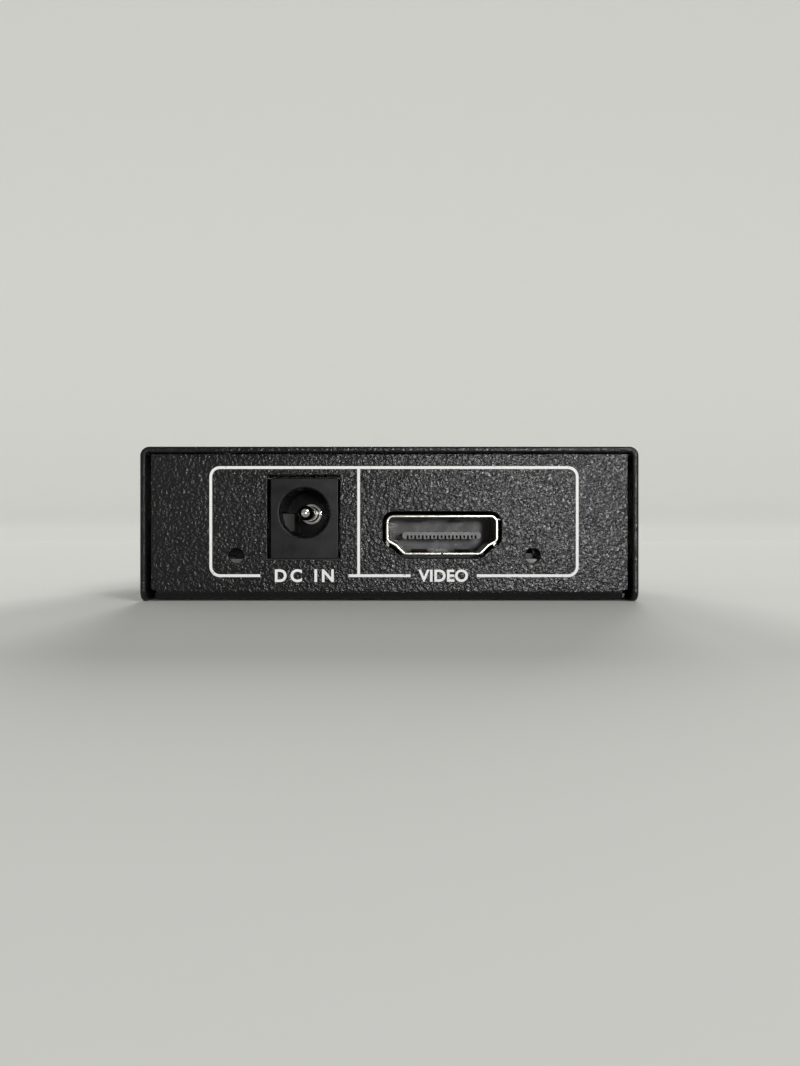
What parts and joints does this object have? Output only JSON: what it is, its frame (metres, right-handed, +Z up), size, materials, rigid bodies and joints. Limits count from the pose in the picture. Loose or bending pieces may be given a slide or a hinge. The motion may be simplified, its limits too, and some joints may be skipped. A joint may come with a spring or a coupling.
{
  "type": "hdmi splitter",
  "caption": "Small folded-steel box with a barrel power jack and a video input on one panel and video outputs on the opposite panel, round a circuit board on standoffs.",
  "frame": {"origin": "middle of the footprint, on the surface that the box stands on", "axes": "+X along the input panel to the right as seen from in front, +Y from the input panel to the output panel, +Z up"},
  "size_m": [0.065, 0.056, 0.0202],
  "materials": {
    "coated_steel": "textured black powder coat",
    "plated_shell": "bright nickel plate",
    "screw_steel": "black zinc",
    "plain_steel": "zinc plate",
    "port_resin": "moulded satin black",
    "jack_resin": "moulded satin black",
    "contact_gilt": "thin gilding",
    "jack_plate": "nickel plate",
    "laminate": "green solder mask",
    "lamp": "clear cast lens, unlit",
    "chip_resin": "moulded matt black",
    "can": "drawn can",
    "ferrite": "pressed ferrite",
    "ceramic_chip": "fired ceramic"
  },
  "bodies": {
    "case": {"chassis": "coated_steel", "top_cover": "coated_steel", "cover_screws": "screw_steel", "board_standoffs": "plain_steel", "board_screws": "plain_steel", "circuit_board": "laminate", "input_port_shell": "plated_shell", "input_port_insulator": "port_resin", "input_port_contacts": "contact_gilt", "output_1_shell": "plated_shell", "output_1_insulator": "port_resin", "output_1_contacts": "contact_gilt", "output_2_shell": "plated_shell", "output_2_insulator": "port_resin", "output_2_contacts": "contact_gilt", "power_jack_housing": "jack_resin", "power_jack_pin": "jack_plate", "power_jack_pin_terminal": "jack_plate", "power_jack_sleeve_terminal": "jack_plate", "power_jack_switch_contact": "jack_plate", "power_led": "lamp", "input_led": "lamp", "output_leds": "lamp", "splitter_chip": "chip_resin", "memory_chip": "chip_resin", "voltage_regulator": "chip_resin", "power_inductor": "ferrite", "crystal": "can", "bulk_capacitors": "can", "chip_capacitors": "ceramic_chip", "chip_resistors": "ceramic_chip"},
    "jack_leaf": {"power_jack_spring": "jack_plate"}
  },
  "joints": [
    {"name": "leaf_flex", "type": "hinge", "parent": "case", "child": "jack_leaf", "pos_m": [-0.0153, -0.0226, 0.0116], "axis": [0, 0, 1], "range_deg": [0, 8], "stiffness_Nm_per_rad": 0.09}
  ]
}
